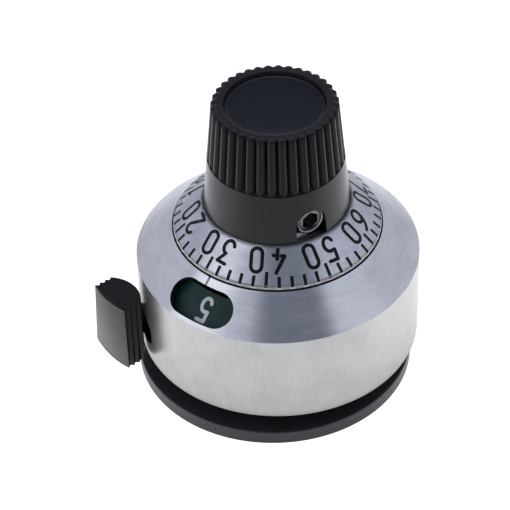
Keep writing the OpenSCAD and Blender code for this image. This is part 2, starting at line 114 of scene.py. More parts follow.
PIVOT = polar(PIVOT_R, PIVOT_AZ, 0)
LEVER_TURN = math.radians(LEVER_AZ)
# The middle point of a rounded edge lies this share of the edge's size from both its faces.
EDGE_MIDDLE = 0.3


def arc(cx, cy, rx, ry, start, end, steps=14):
    """Points along an elliptical arc, from start to end in degrees."""
    angles = [math.radians(start + (end - start) * i / steps) for i in range(steps + 1)]
    return [(cx + rx * math.cos(a), cy + ry * math.sin(a)) for a in angles]


def bend(p0, p1, p2, steps=12):
    """Points along a quadratic curve from p0 to p2, pulled towards p1."""
    points = []
    for i in range(steps + 1):
        t = i / steps
        w = ((1 - t) ** 2, 2 * t * (1 - t), t * t)
        points.append(tuple(w[0] * a + w[1] * b + w[2] * c for a, b, c in zip(p0, p1, p2)))
    return points


def side_faces(rings, count, closed=False, inwards=False):
    """Faces between rings of `count` points; `closed` also joins the last ring to the first."""
    faces = []
    for i in range(rings if closed else rings - 1):
        a, b = i * count, (i + 1) % rings * count
        for k in range(count):
            n = (k + 1) % count
            faces.append((a + k, b + k, b + n, a + n) if inwards else (a + k, a + n, b + n, b + k))
    return faces


def solid_faces(rings, count):
    """Faces of a solid stacked from rings of `count` points: its sides and its two ends."""
    top = (rings - 1) * count
    ends = [tuple(range(count))[::-1], tuple(range(top, top + count))]
    return side_faces(rings, count) + ends


def shade(mesh, sharp):
    """Smooth shading, except on many-sided flat faces and at edges above `sharp` degrees."""
    mesh.shade_smooth()
    mesh.set_sharp_from_angle(angle=math.radians(sharp))
    for polygon in mesh.polygons:
        polygon.use_smooth = len(polygon.vertices) <= 4


def make_piece(name, points, faces, material, body, slot, sharp=35):
    """A mesh object from points in millimetres, smooth except at edges above `sharp` degrees."""
    mesh = bpy.data.meshes.new(name)
    mesh.from_pydata([Vector(p) * MM for p in points], [], faces)
    mesh.validate()
    shade(mesh, sharp)
    piece = bpy.data.objects.new(name, mesh)
    bpy.context.scene.collection.objects.link(piece)
    piece.data.materials.append(material)
    if body:
        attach(piece, body)
    return piece


# ---- node trees -------------------------------------------------------------------------------
# Most of a noise texture's values lie between these two.
NOISE_LOW, NOISE_HIGH = 0.3, 0.7
# Sockets of a Mix node: its factor, then its pair of numbers or of colours
MIX_NUMBERS = (0, 2, 3)
MIX_COLOURS = (0, 6, 7)
MIX_COLOUR_RESULT = 2


def colour(value):
    """A colour written as a hex string, turned into linear values; sockets pass through."""
    if not isinstance(value, str):
        return value
    parts = [int(value[i:i + 2], 16) / 255 for i in (1, 3, 5)]
    linear = [p / 12.92 if p <= 0.04045 else ((p + 0.055) / 1.055) ** 2.4 for p in parts]
    return (*linear, 1.0)


class Graph:
    """The node tree of a material or a world, with short calls that add a node and wire it."""

    def __init__(self, owner):
        owner.use_nodes = True
        self.tree = owner.node_tree

    def node(self, kind, **settings):
        made = self.tree.nodes.new(kind)
        for key, value in settings.items():
            setattr(made, key, value)
        return made

    def wire(self, source, target):
        """Feeds a socket from another socket or from a plain value."""
        if isinstance(source, bpy.types.NodeSocket):
            self.tree.links.new(source, target)
        else:
            target.default_value = source

    def split(self, vector):
        made = self.node("ShaderNodeSeparateXYZ")
        self.wire(vector, made.inputs[0])
        return made.outputs

    def combine(self, x, y, z):
        made = self.node("ShaderNodeCombineXYZ")
        for socket, value in zip(made.inputs, (x, y, z)):
            self.wire(value, socket)
        return made.outputs[0]

    def calc(self, operation, a, b=0.0):
        made = self.node("ShaderNodeMath", operation=operation)
        self.wire(a, made.inputs[0])
        self.wire(b, made.inputs[1])
        return made.outputs[0]

    def product(self, first, *others):
        for other in others:
            first = self.calc("MULTIPLY", first, other)
        return first

    def remap(self, value, low, high, to_low=0.0, to_high=1.0, smooth=False):
        made = self.node("ShaderNodeMapRange", interpolation_type="SMOOTHSTEP" if smooth else "LINEAR")
        for socket, item in zip(made.inputs, (value, low, high, to_low, to_high)):
            self.wire(item, socket)
        return made.outputs[0]

    def mix(self, factor, first, second):
        """A colour between two others."""
        made = self.node("ShaderNodeMix", data_type="RGBA")
        for index, item in zip(MIX_COLOURS, (factor, colour(first), colour(second))):
            self.wire(item, made.inputs[index])
        return made.outputs[MIX_COLOUR_RESULT]

    def blend(self, factor, first, second):
        """A number between two others."""
        made = self.node("ShaderNodeMix", data_type="FLOAT")
        for index, item in zip(MIX_NUMBERS, (factor, first, second)):
            self.wire(item, made.inputs[index])
        return made.outputs[0]

    def shade(self, tint, factor):
        """A colour made darker by a factor below 1."""
        made = self.node("ShaderNodeVectorMath", operation="SCALE")
        self.wire(tint, made.inputs[0])
        self.wire(factor, made.inputs["Scale"])
        return made.outputs[0]

    def noise(self, vector, detail=3.0, roughness=0.55, scale=1.0):
        made = self.node("ShaderNodeTexNoise")
        self.wire(vector, made.inputs["Vector"])
        made.inputs["Scale"].default_value = scale
        made.inputs["Detail"].default_value = detail
        made.inputs["Roughness"].default_value = roughness
        return made.outputs[0]

    def tint(self, noise, first, second, low=NOISE_LOW, high=NOISE_HIGH):
        """A colour that noise moves between two others."""
        return self.mix(self.remap(noise, low, high), first, second)

    def vary(self, noise, middle, by):
        """A value that noise moves up and down."""
        return self.calc("ADD", middle, self.remap(noise, NOISE_LOW, NOISE_HIGH, -by, by))


class Finish(Graph):
    """A material with one Principled shader; x, y, z and radius are in millimetres."""

    def __init__(self, name):
        self.material = bpy.data.materials.new(name)
        super().__init__(self.material)
        self.shader = self.tree.nodes["Principled BSDF"]
        in_mm = self.node("ShaderNodeVectorMath", operation="SCALE")
        self.wire(self.node("ShaderNodeTexCoord").outputs["Object"], in_mm.inputs[0])
        self.wire(1 / MM, in_mm.inputs["Scale"])
        self.position = in_mm.outputs[0]
        self.x, self.y, self.z = self.split(self.position)
        length = self.node("ShaderNodeVectorMath", operation="LENGTH")
        self.wire(self.combine(self.x, self.y, 0.0), length.inputs[0])
        self.radius = length.outputs["Value"]

    def set(self, name, source):
        self.wire(colour(source) if name.endswith("Color") else source, self.shader.inputs[name])

    def bump(self, height, depth, strength=0.5):
        """Raises the surface by `depth` millimetres where the height is 1."""
        made = self.node("ShaderNodeBump")
        made.inputs["Strength"].default_value = strength
        made.inputs["Distance"].default_value = depth * MM
        self.wire(height, made.inputs["Height"])
        self.wire(made.outputs[0], self.shader.inputs["Normal"])

    def turned(self, anisotropy, rotation=0.0):
        """Stretches highlights across grain that runs round the Z axis."""
        tangent = self.node("ShaderNodeTangent", direction_type="RADIAL", axis="Z")
        self.wire(tangent.outputs[0], self.shader.inputs["Tangent"])
        self.set("Anisotropic", anisotropy)
        self.set("Anisotropic Rotation", rotation)

    def rings(self, per_mm, drift=0.12):
        """Places for noise in fine rings round the Z axis, which drifts slowly along each ring."""
        return self.combine(
            self.product(self.x, drift), self.product(self.y, drift),
            self.product(self.calc("ADD", self.radius, self.z), per_mm))

    def uprights(self, per_mm, drift=0.25):
        """Places for noise in fine lines along the Z axis."""
        return self.combine(
            self.product(self.x, per_mm), self.product(self.y, per_mm),
            self.product(self.z, drift))


# ---- materials --------------------------------------------------------------------------------
def housing_finish():
    """Bare metal outside: ring grain on the cone, upright brushing on the wall with painted shade
    towards its foot; black inside.
    """
    f = Finish("housing_aluminium")
    cone_end, foot_shade, foot_edge_shade = 0.01, 4.0, 0.5
    on_cone = f.remap(f.z, SHOULDER_Z - cone_end, SHOULDER_Z + cone_end)
    below_cone = f.calc("SUBTRACT", SHOULDER_Z + HOUSING_R * CONE_TAN, f.z)
    below_cone = f.calc("SUBTRACT", below_cone, f.product(f.radius, CONE_TAN))
    inside = f.product(f.remap(below_cone, 0.04, 0.09),
                       f.remap(f.radius, HOUSING_R - 0.12, HOUSING_R - 0.05, 1.0, 0.0))
    patches = f.noise(f.position, detail=3, scale=0.45)
    rings = f.noise(f.rings(9.0, 0.25), detail=4, roughness=0.7)
    fine = f.noise(f.position, detail=2, scale=5.0)
    cone = f.tint(rings, "#cbcdd3", "#e2e3e8")
    cone = f.shade(cone, f.remap(fine, NOISE_LOW, NOISE_HIGH, 0.95, 1.02))
    brushing = f.noise(f.uprights(12.0, 0.7), detail=4, roughness=0.7)
    worn = f.calc("ADD", f.product(brushing, 0.6), f.product(patches, 0.4))
    wall = f.tint(worn, "#c0bfbb", "#d6d5d0", 0.35, 0.65)
    # Painted shade: the wall darkens towards its foot, and more within half a millimetre of its bottom
    # edge.
    wall = f.shade(wall, f.remap(f.z, WALL_FOOT_Z, WALL_FOOT_Z + foot_shade, 0.88, 1.0))
    wall = f.shade(wall, f.remap(f.z, WALL_FOOT_Z, WALL_FOOT_Z + foot_edge_shade, 0.8, 1.0))
    f.set("Base Color", f.mix(inside, f.mix(on_cone, wall, cone), "#0a0a0b"))
    f.set("Metallic", f.calc("SUBTRACT", 1.0, inside))
    rough = f.vary(patches, f.blend(on_cone, 0.29, 0.25), 0.015)
    f.set("Roughness", f.blend(inside, rough, 0.7))
    f.set("Specular IOR Level", 0.2)
    f.turned(0.9, f.blend(on_cone, 0.0, 0.25))
    return f.material


def dial_finish():
    """Bare turned metal, with painted shade round the knob's foot, along the rim line and on the wall
    below it.
    """
    f = Finish("dial_aluminium")
    rings = f.noise(f.rings(10.0, 0.25), detail=4, roughness=0.7)
    stain = f.noise(f.position, detail=5, roughness=0.7, scale=1.8)
    metal = f.tint(rings, "#c0c3cc", "#d7dae2")
    metal = f.shade(metal, f.remap(stain, 0.35, 0.6, 0.86, 1.02))
    # Painted shade: a dark band round the knob's foot, along the rim line and on the side wall below
    # it.
    at_knob = f.remap(f.radius, DIAL_TOP_R + 0.02, DIAL_TOP_R + 0.3, 0.85, 0.0, smooth=True)
    off_line = f.calc("ABSOLUTE", f.calc("SUBTRACT", f.radius, DIAL_RIM_R))
    at_line = f.remap(off_line, 0.012, 0.05, 0.5, 0.0)
    on_wall = f.remap(f.z, DIAL_RIM_FOOT_Z - 0.02, DIAL_RIM_FOOT_Z + 0.01, 0.95, 0.0)
    painted_shade = f.calc("MAXIMUM", f.calc("MAXIMUM", at_knob, at_line), on_wall)
    on_rim = f.remap(f.radius, DIAL_RIM_R, DIAL_RIM_R + 0.02)
    f.set("Base Color", f.mix(painted_shade, f.mix(on_rim, metal, "#b9b7b0"), "#14161c"))
    f.set("Metallic", 1.0)
    f.set("Roughness", 0.33)
    f.turned(0.85, 0.25)
    return f.material


def plastic_finish(name, dark, light, roughness, specular=0.5, pebble=0.006, size=4.0):
    """Moulded plastic: slight mottling, and a fine pebble in its surface."""
    f = Finish(name)
    mottle = f.noise(f.position, detail=3, scale=0.8)
    fine = f.noise(f.position, detail=4, scale=size)
    f.set("Base Color", f.tint(mottle, dark, light))
    f.set("Roughness", f.vary(fine, roughness, 0.05))
    f.set("Specular IOR Level", specular)
    f.bump(fine, pebble)
    return f.material


def base_finish():
    """Black moulded plastic; the flange's top is duller than its edge and painted paler as painted
    light.
    """
    f = Finish("base_plastic")
    mottle = f.noise(f.position, detail=3, scale=0.8)
    fine = f.noise(f.position, detail=4, scale=4.0)
    off_top = f.calc("ABSOLUTE", f.calc("SUBTRACT", f.z, FLANGE_TOP_Z))
    on_top = f.remap(off_top, 0.01, 0.03, 1.0, 0.0)
    edge = f.tint(mottle, "#141516", "#1a1b1c")
    # Painted light: the flange's top face is painted paler than its edge.
    top = f.tint(mottle, "#232527", "#2c2e31")
    f.set("Base Color", f.mix(on_top, edge, top))
    f.set("Roughness", f.vary(fine, f.blend(on_top, 0.3, 0.48), 0.05))
    f.set("Specular IOR Level", 0.8)
    f.bump(fine, 0.004)
    return f.material


def knob_finish():
    """Moulded black plastic: a polished skirt, duller ribs above it, and a flat satin rim.

    The valleys between the ribs are painted darker and duller than the ribs' backs, as painted shade.
    """
    f = Finish("knob_plastic")
    mottle = f.noise(f.position, detail=3, scale=0.8)
    fine = f.noise(f.position, detail=4, scale=4.0)
    on_ribs = f.remap(f.z, FLUTE_START_Z - 0.1, FLUTE_START_Z)
    below_rim = f.remap(f.z, KNOB_TOP_Z - 0.25, KNOB_TOP_Z - 0.15, 1.0, 0.0)
    drawn_in = f.product(f.calc("SUBTRACT", f.z, DIAL_TOP_Z), KNOB_DRAFT)
    depth = f.calc("SUBTRACT", f.calc("SUBTRACT", KNOB_FOOT_R, drawn_in), f.radius)
    # Painted shade: deep in the valleys the colour turns near black and the shine drops.
    valley_shade = f.product(on_ribs, below_rim, f.remap(depth, 0.12, 0.17))
    in_recess = f.product(
        on_ribs, f.remap(f.radius, CAP_RECESS_R + 0.02, CAP_RECESS_R + 0.06, 1.0, 0.0))
    on_top = f.remap(f.z, KNOB_TOP_Z - 0.08, KNOB_TOP_Z - 0.02)
    on_rim = f.calc("MAXIMUM", in_recess, on_top)
    skirt = f.tint(mottle, "#0c100f", "#141817")
    ribs = f.mix(valley_shade, f.tint(mottle, "#0c0d0d", "#131414"), "#040404")
    f.set("Base Color", f.mix(on_rim, f.mix(on_ribs, skirt, ribs), "#0f1116"))
    rough = f.blend(on_rim, f.blend(on_ribs, 0.22, 0.2), 0.38)
    f.set("Roughness", f.vary(fine, rough, 0.04))
    shine = f.blend(valley_shade, f.blend(on_ribs, 0.38, 0.23), 0.09)
    f.set("Specular IOR Level", f.blend(on_rim, shine, 0.5))
    f.bump(fine, 0.0012)
    return f.material


def lever_finish():
    """Black plastic, its outer face rubbed grey by fingers, the rest still dull; painted light makes
    its top lighter than its sides, and a painted highlight runs along the outer face's top edge.
    """
    f = Finish("lever_plastic")
    rubbed = f.noise(f.position, detail=4, scale=1.2)
    fine = f.noise(f.position, detail=4, scale=7.0)
    out_x, out_y = math.cos(LEVER_TURN), math.sin(LEVER_TURN)
    along = f.calc("ADD", f.product(f.x, out_x), f.product(f.y, out_y))
    face_at = PAD_REACH + PIVOT[0] * out_x + PIVOT[1] * out_y
    on_face = f.remap(along, face_at - 0.1, face_at - 0.02)
    below_top = f.remap(f.z, PAD_TOP_Z - 0.04, PAD_TOP_Z - 0.01, 1.0, 0.0)
    # Painted highlight: a pale line along the top edge of the outer face.
    off_edge = f.calc("ABSOLUTE", f.calc("SUBTRACT", f.z, PAD_TOP_Z - 0.03))
    edge_highlight = f.product(on_face, f.remap(off_edge, 0.01, 0.03, 1.0, 0.0))
    grey = f.tint(rubbed, "#37342f", "#44413a")
    # Painted light: the top face is painted lighter than the black sides.
    plain = f.mix(below_top, "#1b1a19", "#0c0c0e")
    tint = f.mix(f.product(on_face, below_top), plain, grey)
    f.set("Base Color", f.mix(edge_highlight, tint, "#7d7b75"))
    f.set("Roughness", f.vary(fine, f.blend(below_top, 0.5, 0.36), 0.05))
    f.set("Specular IOR Level", f.blend(on_face, 0.25, 0.5))
    f.bump(fine, 0.012)
    return f.material


def turned_metal_finish(name, dark, light, roughness):
    """Turned or drawn metal, with a fine ring grain and patches of tarnish."""
    f = Finish(name)
    rings = f.noise(f.rings(18.0), detail=4, roughness=0.7)
    tarnish = f.noise(f.position, detail=4, scale=0.5)
    tone = f.calc("ADD", f.product(rings, 0.6), f.product(tarnish, 0.4))
    f.set("Base Color", f.tint(tone, dark, light, 0.35, 0.65))
    f.set("Metallic", 1.0)
    f.set("Roughness", f.remap(tarnish, NOISE_LOW, NOISE_HIGH, roughness - 0.06, roughness + 0.08))
    f.bump(rings, 0.003)
    return f.material


def paint_finish(name, dark, light, roughness):
    """Filling paint, uneven where it has settled in the strokes."""
    f = Finish(name)
    settled = f.noise(f.position, detail=4, scale=3.0)
    f.set("Base Color", f.tint(settled, dark, light, 0.35, 0.65))
    f.set("Roughness", f.vary(settled, roughness, 0.1))
    f.set("Specular IOR Level", 0.25)
    f.bump(settled, 0.01, 0.4)
    return f.material


# The keys are the record's material slots.
FINISHES = {
    "housing_aluminium": housing_finish(),
    "dial_aluminium": dial_finish(),
    "base_plastic": base_finish(),
    "knob_plastic": knob_finish(),
    "cap_plastic": plastic_finish(
        "cap_plastic", "#0c0e14", "#11141b", 0.33, specular=0.4, pebble=0.0015),
    "lever_plastic": lever_finish(),
    "gear_plastic": plastic_finish("gear_plastic", "#d9d6ca", "#e8e6dd", 0.4),
    "ring_plastic": plastic_finish("ring_plastic", "#161719", "#1f2022", 0.45),
    "number_ring_finish": plastic_finish(
        "number_ring_finish", "#152e34", "#1a4238", 0.45, specular=0.25),
    "washer_plastic": plastic_finish("washer_plastic", "#cfc9b4", "#ded9c6", 0.45),
    "lining_fibre": plastic_finish(
        "lining_fibre", "#4f3524", "#76513a", 0.8, specular=0.3, pebble=0.02, size=9.0),
    "brass_turned": turned_metal_finish("brass_turned", "#b08d45", "#d2b268", 0.28),
    "steel_bright": turned_metal_finish("steel_bright", "#65625e", "#8f8c87", 0.22),
    "steel_plain": turned_metal_finish("steel_plain", "#8b8e92", "#aeb1b5", 0.32),
    "spring_steel": turned_metal_finish("spring_steel", "#6c6f74", "#94979c", 0.3),
}
INK_BLACK = paint_finish("ink_black", "#030304", "#0a0b0d", 0.5)
INK_PALE = paint_finish("ink_pale", "#ccd2d4", "#e0e5e6", 0.55)
BARE_CUT = turned_metal_finish("bare_cut", "#c9cbd0", "#e2e3e6", 0.3)


# ---- strokes: engraved lines and numerals on a cone -------------------------------------------
MITRE_LIMIT = 1.6
END_STEPS = 5
# A round end stops just short of its tip, where its two sides would meet in one point.
END_SWEEP = 88


class ConeFace:
    """A cone about the Z axis, unrolled flat so that marks can be laid out on it.

    Beyond rim_r the face drops away at rim_fall.
    """

    def __init__(self, outer_r, outer_z, fall, rim_r=1e3, rim_fall=0.0):
        self.outer_r = outer_r
        self.outer_z = outer_z
        self.fall = fall
        self.rim_r = rim_r
        self.rim_fall = rim_fall
        self.slope = math.atan(fall)

    def height(self, radius):
        on_cone = self.outer_z + (self.outer_r - min(radius, self.rim_r)) * self.fall
        return on_cone - max(0.0, radius - self.rim_r) * self.rim_fall

    def at(self, azimuth, inner_r):
        """A function that puts x across and y outwards from a place, lifted off the face."""
        along, across = math.cos(self.slope), math.sin(self.slope)

        def place(x, y, lift):
            outwards = inner_r / along + y
            radius = math.hypot(outwards, x) * along
            turn = math.degrees(math.atan2(x, outwards) / along)
            return polar(radius + lift * across, azimuth - turn, self.height(radius) + lift * along)

        return place


def offset_sides(path, half):
    """Left and right edges of a stroke of width 2 * half along a path, mitred at its bends."""
    left, right = [], []
    closed = path[0] == path[-1]
    count = len(path)
    for i, (x, y) in enumerate(path):
        before = path[i - 1] if i > 0 else (path[-2] if closed else None)
        after = path[i + 1] if i < count - 1 else (path[1] if closed else None)
        headings = []
        for start, end in ((before, (x, y)), ((x, y), after)):
            if start is not None and end is not None:
                length = math.hypot(end[0] - start[0], end[1] - start[1])
                headings.append(((end[0] - start[0]) / length, (end[1] - start[1]) / length))
        tx = sum(h[0] for h in headings)
        ty = sum(h[1] for h in headings)
        length = math.hypot(tx, ty)
        tx, ty = tx / length, ty / length
        stretch = 1 / max(1 / MITRE_LIMIT, tx * headings[0][0] + ty * headings[0][1])
        left.append((x - ty * half * stretch, y + tx * half * stretch))
        right.append((x + ty * half * stretch, y - tx * half * stretch))
    return left, right


def stroke_solid(path, half, place, low, high, round_ends=True):
    """A closed solid along a path: place(x, y, lift) puts its corners between two lifts."""
    left, right = offset_sides(path, half)
    closed = path[0] == path[-1]
    columns = list(zip(left, right))
    if round_ends and not closed:
        columns = end_columns(path[1], path[0], half)[::-1] + columns
        columns += end_columns(path[-2], path[-1], half, flip=True)
    points = []
    for (lx, ly), (rx, ry) in columns:
        points += [place(lx, ly, high), place(rx, ry, high), place(rx, ry, low), place(lx, ly, low)]
    faces = side_faces(len(columns), 4, inwards=True)
    if not closed:
        last = len(points)
        faces += [(0, 1, 2, 3), (last - 1, last - 2, last - 3, last - 4)]
    return points, faces


def end_columns(inner, end, half, flip=False):
    """Pairs of points that close a stroke with a half circle beyond its end."""
    heading = math.atan2(end[1] - inner[1], end[0] - inner[0])
    pairs = []
    for i in range(1, END_STEPS + 1):
        a = math.radians(90 - END_SWEEP * i / END_STEPS)
        along, aside = half * math.cos(a), half * math.sin(a)
        cx = end[0] + along * math.cos(heading)
        cy = end[1] + along * math.sin(heading)
        one = (cx - aside * math.sin(heading), cy + aside * math.cos(heading))
        two = (cx + aside * math.sin(heading), cy - aside * math.cos(heading))
        pairs.append((one, two) if flip else (two, one))
    return pairs


def digit_paths(digit, width, height):
    """Centre lines of one narrow engraved digit; x from its middle, y up from its foot."""
    r = width / 2
    bowl = 0.30 * height
    six = [arc(0, bowl, r, bowl, 0, 360, 24),
           bend((-r, bowl), (-r, 0.78 * height), (0.62 * r, height))]
    shapes = {
        0: [arc(0, r, r, r, 180, 360) + arc(0, height - r, r, r, 0, 180) + [(-r, r)]],
        1: [[(-0.55 * r, 0.80 * height), (0.15 * r, height), (0.15 * r, 0)]],
        2: [arc(0, height - r, r, r, 165, -25) + [(-r, 0), (r, 0)]],
        3: [[(-0.85 * r, height), (0.9 * r, height), (-0.05 * r, 0.58 * height)]
            + arc(-0.05 * r, 0.29 * height, r, 0.29 * height, 88, -155)],
        4: [[(0.3 * r, 0), (0.3 * r, 0.42 * height)],
            [(r, 0.27 * height), (-r, 0.27 * height), (0.3 * r, height)]],
        5: [[(0.9 * r, height), (-0.8 * r, height), (-0.85 * r, 0.57 * height)]
            + arc(-0.05 * r, 0.30 * height, r, 0.30 * height, 110, -155)],
        6: six,
        7: [[(-r, height), (r, height), (-0.25 * r, 0)]],
        8: [arc(0, 0.75 * height, 0.85 * r, 0.25 * height, -90, 270, 24),
            arc(0, 0.25 * height, r, 0.25 * height, 90, 450, 24)],
        9: [[(-x, height - y) for x, y in path] for path in six],
    }
    return shapes[digit]


def split_at_corners(path, sharpest=60):
    """Cuts a path into strokes at every bend sharper than an angle in degrees."""
    strokes, current = [], [path[0]]
    for before, here, after in zip(path, path[1:], path[2:]):
        current.append(here)
        arriving = Vector((here[0] - before[0], here[1] - before[1]))
        leaving = Vector((after[0] - here[0], after[1] - here[1]))
        if math.degrees(arriving.angle(leaving)) > sharpest:
            strokes.append(current)
            current = [here]
    strokes.append(current + [path[-1]])
    return strokes


def number_strokes(number, width, height, spacing, stroke, face, azimuth, inner_r, low, high):
    """Solids for a number centred on an azimuth, its digits side by side and parallel."""
    digits = [int(c) for c in str(number)]
    place = face.at(azimuth, inner_r)
    solids = []
    for k, digit in enumerate(digits):
        shift = (k - (len(digits) - 1) / 2) * spacing
        for path in digit_paths(digit, width, height):
            for part in split_at_corners(path):
                moved = [(x + shift, y) for x, y in part]
                solids.append(stroke_solid(moved, stroke / 2, place, low, high))
    return solids


def join_solids(solids):
    """One list of points and one of faces for several solids."""
    points, faces = [], []
    for more_points, more_faces in solids:
        base = len(points)
        points += more_points
        faces += [tuple(base + i for i in face) for face in more_faces]
    return points, faces


# ---- dial marks -------------------------------------------------------------------------------
DIAL_FACE = ConeFace(
    DIAL_RIM_R, DIAL_RIM_TOP_Z, (DIAL_TOP_Z - DIAL_RIM_TOP_Z) / (DIAL_RIM_R - DIAL_TOP_R),
    DIAL_RIM_R, (DIAL_RIM_TOP_Z - DIAL_RIM_FOOT_Z) / (DIAL_R - DIAL_RIM_R))
DIVISIONS = 100
DIVISION = 360 / DIVISIONS
MARK_EVERY, NUMBER_EVERY = 2, 10
DIVISION_42_AZ = -90.49
MARK_OUTER_R = 8.05
MARK_LONG_R = 7.22
MARK_SHORT_R = 7.48
MARK_STROKE = 0.26
DIGIT_STROKE = 0.29
DIGIT_INNER_R = 5.92
DIGIT_WIDTH = 0.83
DIGIT_HEIGHT = 1.8
DIGIT_SPACING = 1.66


def dial_marks(extra, low, high):
    """All ticks and numerals, each stroke wider by `extra` on either side."""
    solids = []
    for value in range(0, DIVISIONS, MARK_EVERY):
        numbered = value % NUMBER_EVERY == 0
        azimuth = DIVISION_42_AZ + (value - 42) * DIVISION
        inner_r = MARK_LONG_R if numbered else MARK_SHORT_R
        length = (MARK_OUTER_R - inner_r) / math.cos(DIAL_FACE.slope)
        path = [(0, -extra), (0, length * 0.5), (0, length * 0.9), (0, length + extra)]
        place = DIAL_FACE.at(azimuth, inner_r)
        solids.append(stroke_solid(path, MARK_STROKE / 2 + extra, place, low, high, False))
        if numbered:
            solids += number_strokes(
                value, DIGIT_WIDTH, DIGIT_HEIGHT, DIGIT_SPACING, DIGIT_STROKE + 2 * extra,
                DIAL_FACE, azimuth, DIGIT_INNER_R, low, high)
    return join_solids(solids)


# A bright edge stands round each filled stroke.
BURR = 0.05
make_piece("dial_mark_burrs", *dial_marks(BURR, -0.03, 0.006), BARE_CUT, "knob",
           "dial_aluminium")
make_piece("dial_marks", *dial_marks(0.0, -0.04, 0.014), INK_BLACK, "knob", "dial_aluminium")

# ---- count ring numbers -----------------------------------------------------------------------
RING_FACE = ConeFace(RING_TOP_R, RING_TOP_Z, CONE_TAN)
COUNT_NUMBERS = 15
COUNT_FIVE_AZ = -127.6
COUNT_INNER_R = 8.74
COUNT_WIDTH = 0.76
COUNT_HEIGHT = 1.8
COUNT_SPACING = 1.15
COUNT_STROKE = 0.28


def count_numbers(low, high):
    """The numbers of whole turns, spread evenly round the ring."""
    solids = []
    for number in range(COUNT_NUMBERS):
        azimuth = COUNT_FIVE_AZ + (number - 5) * 360 / COUNT_NUMBERS
        solids += number_strokes(
            number, COUNT_WIDTH, COUNT_HEIGHT, COUNT_SPACING, COUNT_STROKE, RING_FACE, azimuth,
            COUNT_INNER_R, low, high)
    return join_solids(solids)


make_piece("count_numbers", *count_numbers(-0.03, 0.012), INK_PALE, "count_ring",
           "number_ring_finish")


# ---- knob -------------------------------------------------------------------------------------
FLUTE_DEPTH = 0.25
FLUTE_SHAPE = 1.2
FLUTE_END = 0.3
SEAM_Z = 19.9
SEAM_DEPTH = 0.06
SEAM_HALF = 0.05
RIM_DROP = 0.2
RIM_ROUND = 0.5
FOOT_ROUND = 0.05
RECESS_LIP = 0.04
COLUMNS_PER_FLUTE = 16


def knob_side_r(z):
    return KNOB_FOOT_R - (z - DIAL_TOP_Z) * KNOB_DRAFT


def flute_depth(turn, z):
    """Depth below the drafted side at a place `turn` pitches from a valley's middle.

    The ribs are rounded and the valleys between them narrow; each valley ends in a round
    foot, and a fine seam runs round below the ribs.
    """
    valley = FLUTE_DEPTH * (1 - abs(math.sin(math.pi * turn)) ** FLUTE_SHAPE)
    below = min(1.0, max(0.0, FLUTE_START_Z + FLUTE_END - z) / FLUTE_END)
    valley = min(valley, FLUTE_DEPTH * math.sqrt(1 - below * below))
    seam = SEAM_DEPTH * max(0.0, 1 - abs(z - SEAM_Z) / SEAM_HALF)
    return valley + seam


def knob_rows():
    """Rows of (radius, height, fluted) up the side, over the rim and back down inside."""
    rows = [(KNOB_SPIGOT_R, DIAL_WEB_Z, False), (KNOB_SPIGOT_R, DIAL_TOP_Z, False),
            (KNOB_FOOT_R - FOOT_ROUND, DIAL_TOP_Z, False)]
    skirt_foot, skirt_top = DIAL_TOP_Z + FOOT_ROUND, SEAM_Z - 2 * SEAM_HALF
    feet_low, feet_high = SEAM_Z + SEAM_HALF, FLUTE_START_Z + FLUTE_END
    side_top = KNOB_TOP_Z - RIM_DROP
    steps, feet_steps = 8, 10
    heights = [skirt_foot + (skirt_top - skirt_foot) * i / steps for i in range(steps + 1)]
    heights += [SEAM_Z + SEAM_HALF * i for i in (-1, -0.5, 0, 0.5)]
    heights += [feet_low + (feet_high - feet_low) * (i / feet_steps) ** 1.5
                for i in range(feet_steps + 1)]
    heights += [feet_high + (side_top - feet_high) * i / steps for i in range(1, steps + 1)]
    rows += [(knob_side_r(z), z, True) for z in heights]
    for i in range(1, steps + 1):
        a = math.radians(90 * i / steps)
        rows.append((knob_side_r(side_top) - RIM_ROUND * (1 - math.cos(a)),
                     side_top + RIM_DROP * math.sin(a), i < steps))
    lip = EDGE_MIDDLE * RECESS_LIP
    inside = [(CAP_RECESS_R + RECESS_LIP, KNOB_TOP_Z), (CAP_RECESS_R + lip, KNOB_TOP_Z - lip),
              (CAP_RECESS_R, KNOB_TOP_Z - RECESS_LIP), (CAP_RECESS_R, CAP_FLOOR_Z),
              (KNOB_NECK_R, CAP_FLOOR_Z), (KNOB_NECK_R, KNOB_NECK_Z), (KNOB_BORE_R, KNOB_NECK_Z),
              (KNOB_BORE_R, DIAL_WEB_Z)]
    return rows + [(radius, z, False) for radius, z in inside]


def knob_mesh():
    """A ring-shaped skin: one column of points for each direction, one row for each height."""
    rows = knob_rows()
    columns = FLUTE_COUNT * COLUMNS_PER_FLUTE
    points = []
    for radius, z, fluted in rows:
        for k in range(columns):
            turn = (k % COLUMNS_PER_FLUTE) / COLUMNS_PER_FLUTE
            depth = flute_depth(turn, min(z, KNOB_TOP_Z - RIM_DROP)) if fluted else 0.0
            points.append(polar(radius - depth, 90 + k * 360 / columns, z))
    return points, side_faces(len(rows), columns, closed=True)


def beside(azimuth, out, across, z):
    """A point `out` from the knob's axis along an azimuth, and `across` from that line."""
    return tuple(Matrix.Rotation(math.radians(azimuth), 3, "Z") @ Vector((out, across, z)))


def arch_cutter():
    """The round arch over the set screw, from inside the knob's bore to outside its skirt."""
    reach, foot = (2.0, 8.0), DIAL_TOP_Z - 3
    outline = [(ARCH_R, foot)] + arc(0, SCREW_Z, ARCH_R, ARCH_R, 0, 180, 32) + [(-ARCH_R, foot)]
    points = [beside(ARCH_AZ, out, across, z) for out in reach for across, z in outline]
    return points, solid_faces(2, len(outline))


